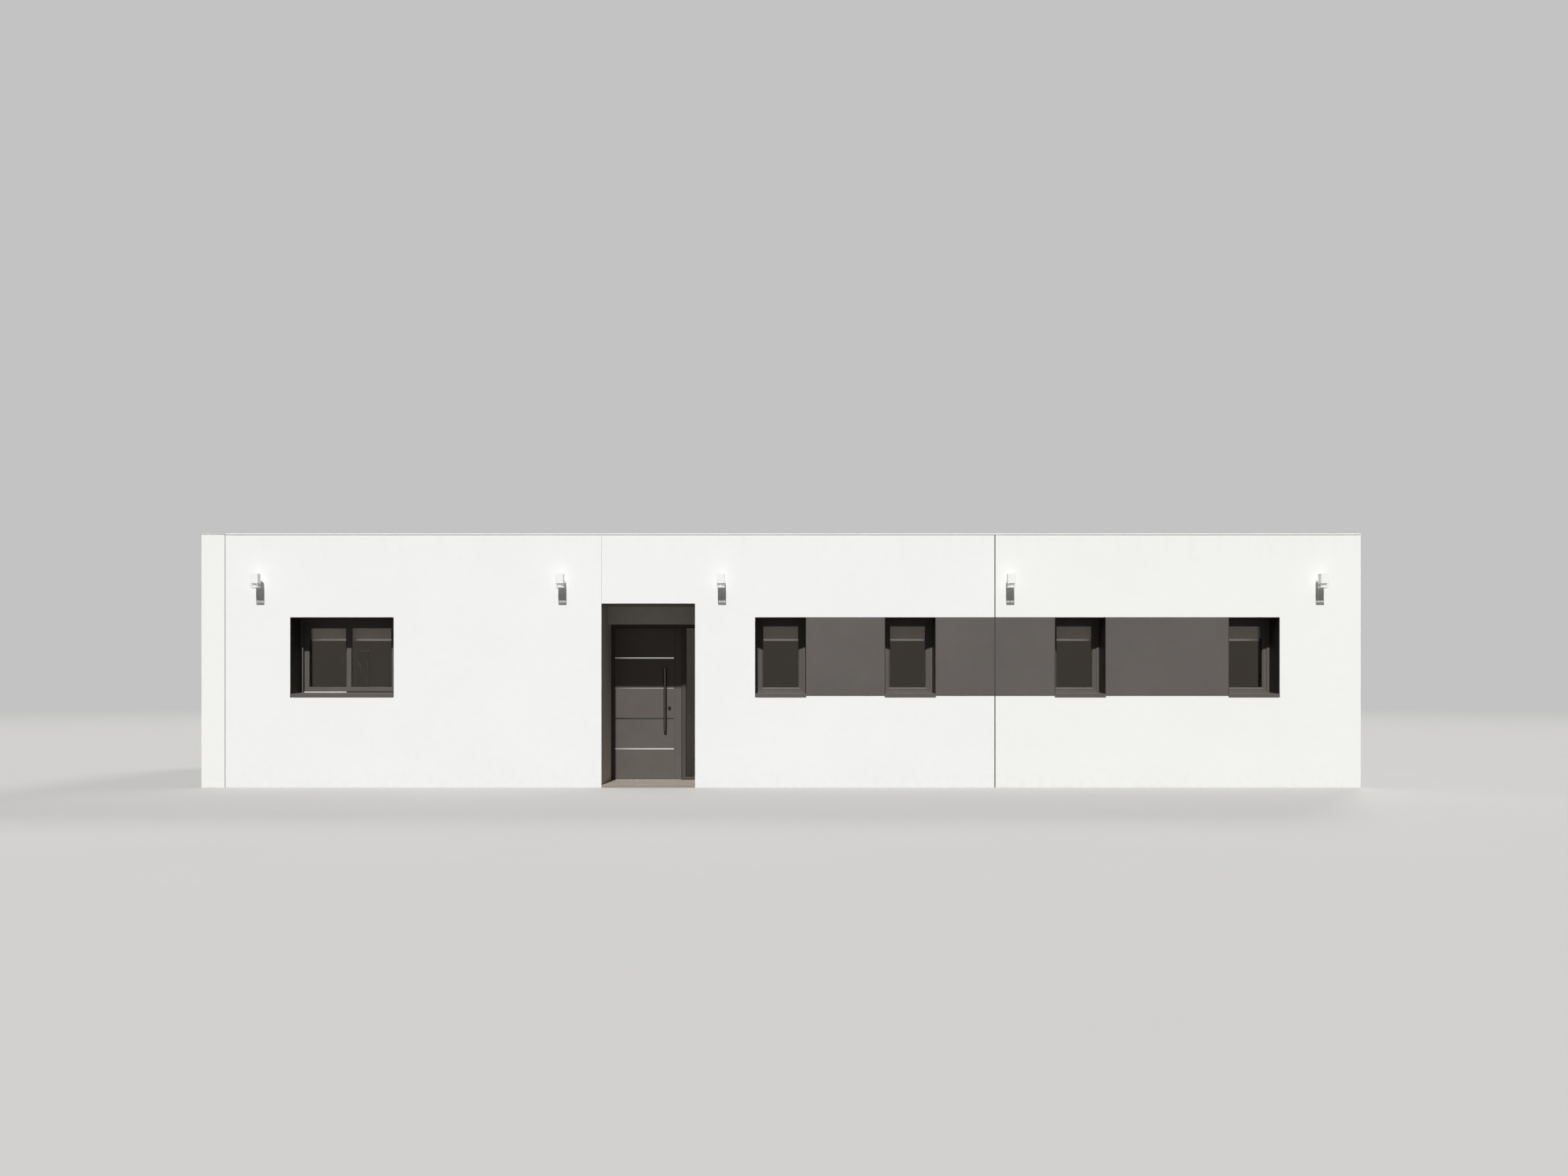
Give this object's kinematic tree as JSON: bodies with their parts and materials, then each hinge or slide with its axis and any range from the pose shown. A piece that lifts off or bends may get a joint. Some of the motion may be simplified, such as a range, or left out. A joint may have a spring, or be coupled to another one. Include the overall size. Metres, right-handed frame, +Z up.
{
  "type": "flat roofed bungalow",
  "caption": "Single-storey white rendered house with a flat roof, a recessed entrance with a hinged door, deep-set windows, a grey window band and wall lamps.",
  "frame": {"origin": "middle of the plan, at ground level under the walls", "axes": "+X along the front to the right as seen from outside, -Y out of the front wall, +Z up"},
  "size_m": [16.016, 8.388, 3.508],
  "materials": {
    "white_render": "fine white render",
    "niche_render": "fine grey render",
    "floor_tile": "fine concrete",
    "concrete": "cast concrete",
    "gravel": "loose round gravel",
    "band_cladding": "grey brown fine render",
    "sealant": "dark joint sealant",
    "frame_metal": "anthracite powder coat",
    "door_paint": "warm grey powder coat",
    "lining_metal": "dark powder coat",
    "coping_metal": "white powder coat",
    "lamp_metal": "white powder coat",
    "stainless": "brushed stainless steel",
    "threshold_metal": "satin",
    "window_glass": "clear insulating glass",
    "opal_glass": "opal glass",
    "blind_cloth": "plain woven roller cloth",
    "blind_metal": "pale powder coat",
    "drain_plastic": "dark moulded plastic"
  },
  "bodies": {
    "house": {"floor_slab": "floor_tile", "porch_slab": "floor_tile", "left_wall": "white_render", "right_wall": "white_render", "front_wall_left": "white_render", "front_wall_over_door": "white_render", "front_wall_middle": "white_render", "front_wall_right": "white_render", "rear_wall_left": "white_render", "rear_wall_middle": "white_render", "rear_wall_right": "white_render", "panel_joints": "sealant", "niche_left_wall": "niche_render", "niche_right_wall": "niche_render", "niche_lintel": "niche_render", "niche_ceiling": "niche_render", "window_bands": "band_cladding", "window_linings": "lining_metal", "window_sills": "frame_metal", "window_frames": "frame_metal", "window_sashes": "frame_metal", "sliding_sashes": "frame_metal", "track_covers": "threshold_metal", "window_glass": "window_glass", "window_handles": "stainless", "window_blinds": "blind_cloth", "blind_cassettes": "blind_metal", "blind_rails": "blind_metal", "door_posts": "frame_metal", "door_head": "frame_metal", "door_threshold": "threshold_metal", "side_light_glass": "window_glass", "frame_hinges": "stainless", "roof_slab": "concrete", "roof_covering": "gravel", "roof_outlets": "drain_plastic", "parapet_coping": "coping_metal", "lamp_bodies": "lamp_metal", "lamp_brackets": "lamp_metal", "lamp_diffusers": "opal_glass"},
    "front_door": {"door_leaf": "door_paint", "door_inlays": "stainless", "door_pull": "stainless", "door_lock": "stainless", "leaf_hinges": "stainless"}
  },
  "joints": [
    {"name": "front_door_hinge", "type": "hinge", "parent": "house", "child": "front_door", "pos_m": [-2.4495, -2.926, 0], "axis": [0, 0, 1], "range_deg": [0, 95]}
  ]
}
